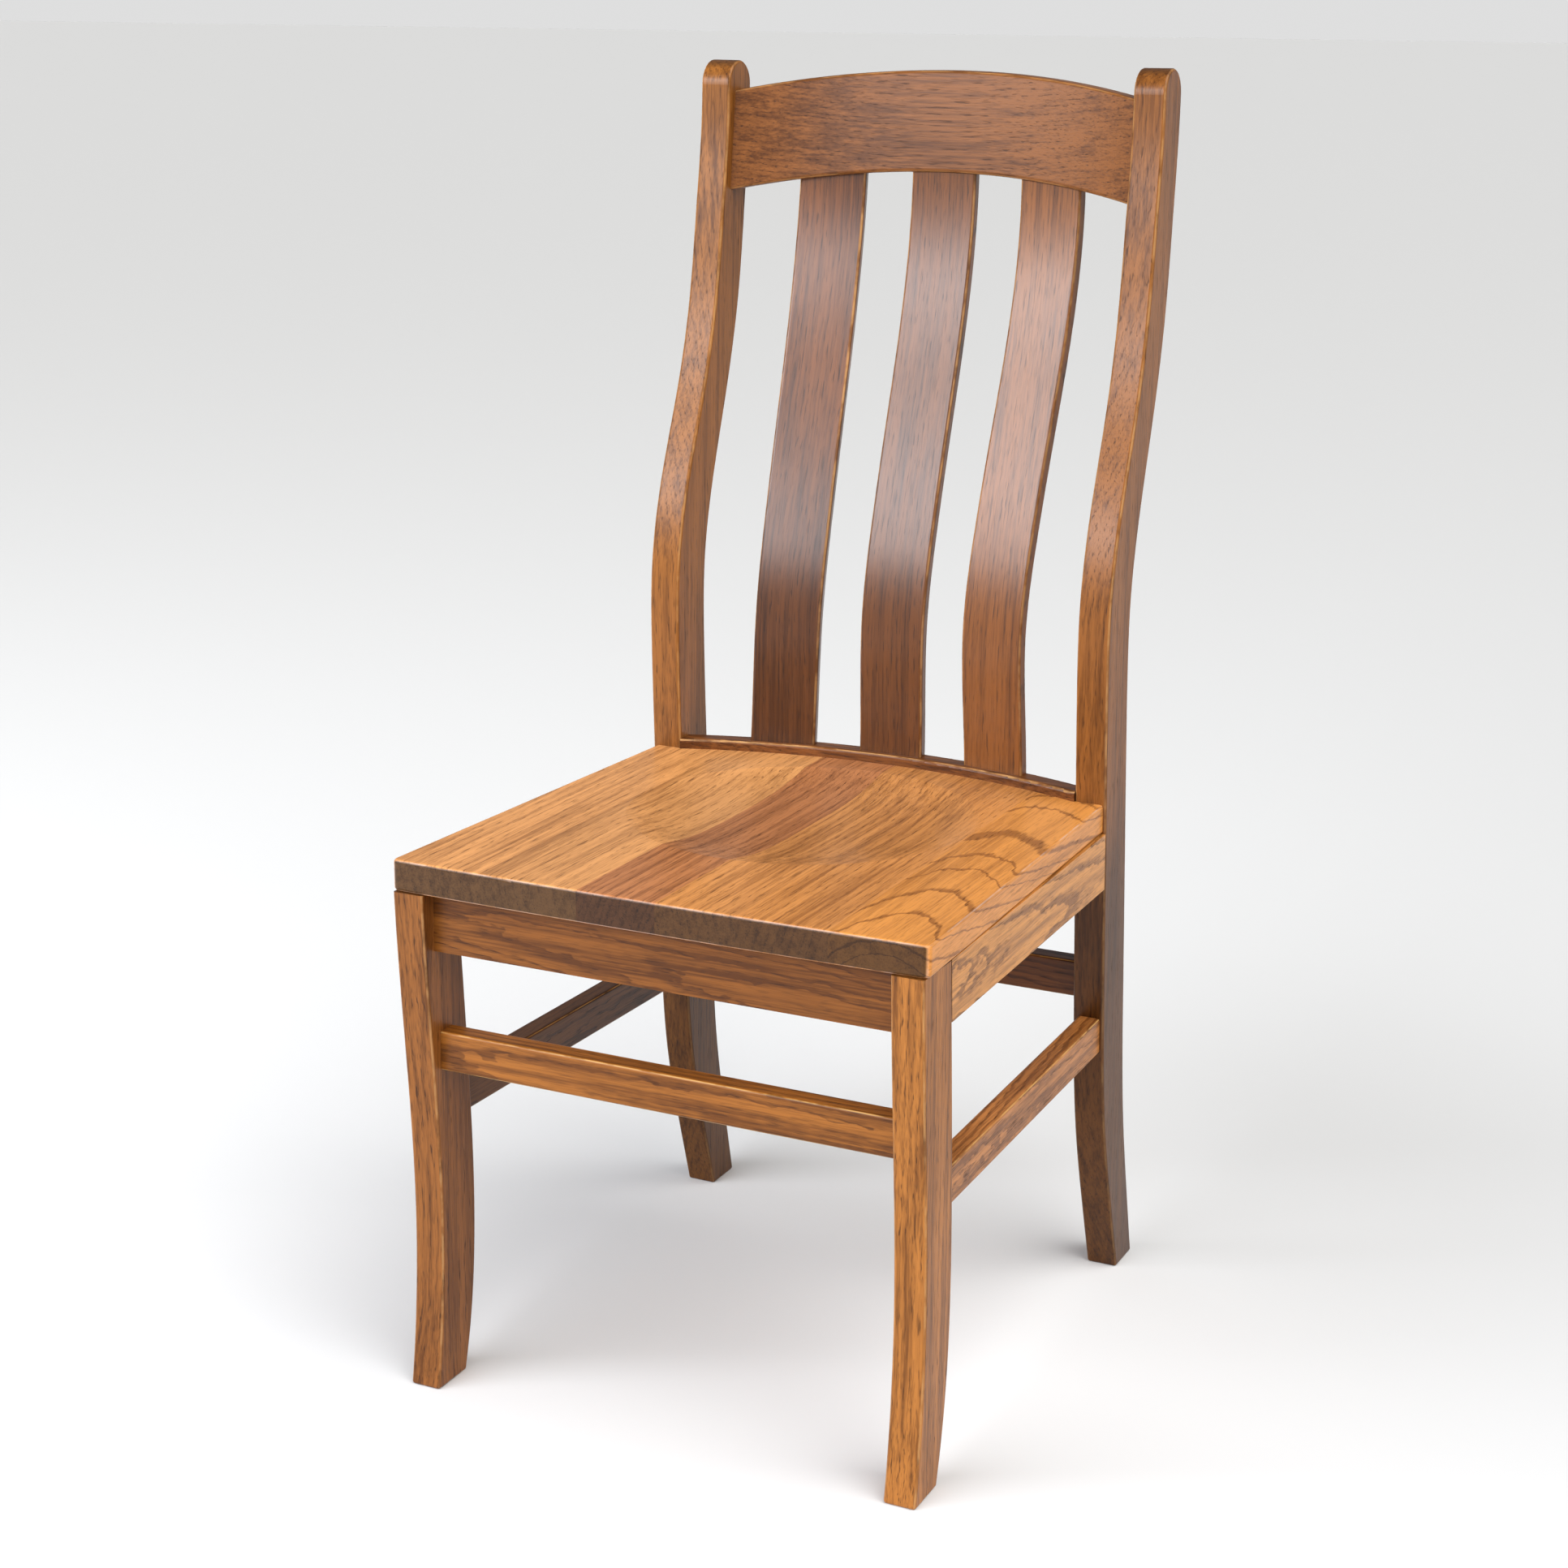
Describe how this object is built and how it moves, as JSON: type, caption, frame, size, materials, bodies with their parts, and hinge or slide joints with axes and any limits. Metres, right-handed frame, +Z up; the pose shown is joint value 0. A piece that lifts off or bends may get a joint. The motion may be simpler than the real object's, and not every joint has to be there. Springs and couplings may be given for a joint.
{
  "type": "dining chair",
  "caption": "Solid hardwood dining chair with scooped seat, bent vertical back slats between a bowed crest and back rail, sabre front legs, S-shaped back posts and box stretchers.",
  "frame": {"origin": "centre of the bounding box on the floor, under the middle of the chair", "axes": "+Z up, -Y towards the sitter's front, +X to the viewer's right from the front"},
  "size_m": [0.4596, 0.5702, 1.0611],
  "materials": {
    "frame_wood": "stained hardwood, satin lacquer",
    "seat_wood": "stained hardwood, satin lacquer",
    "block_wood": "unfinished hardwood",
    "dowel_wood": "unfinished hardwood",
    "screw_steel": "zinc plated"
  },
  "bodies": {
    "root": {"back_post_left": "frame_wood", "back_post_right": "frame_wood", "front_leg_left": "frame_wood", "front_leg_right": "frame_wood", "side_apron_left": "frame_wood", "side_apron_right": "frame_wood", "side_stretcher_left": "frame_wood", "side_stretcher_right": "frame_wood", "back_slat_left": "frame_wood", "back_slat_centre": "frame_wood", "back_slat_right": "frame_wood", "crest_rail": "frame_wood", "back_rail": "frame_wood", "front_apron": "frame_wood", "rear_apron": "frame_wood", "front_stretcher": "frame_wood", "rear_stretcher": "frame_wood", "seat_board_1": "seat_wood", "seat_board_2": "seat_wood", "seat_board_3": "seat_wood", "seat_board_4": "seat_wood", "seat_board_5": "seat_wood", "seat_board_6": "seat_wood", "corner_block_front_left": "block_wood", "corner_block_front_right": "block_wood", "corner_block_rear_left": "block_wood", "corner_block_rear_right": "block_wood", "apron_dowels": "dowel_wood", "crest_dowels": "dowel_wood", "back_rail_dowels": "dowel_wood", "corner_block_screws": "screw_steel", "seat_screws": "screw_steel"}
  },
  "joints": []
}
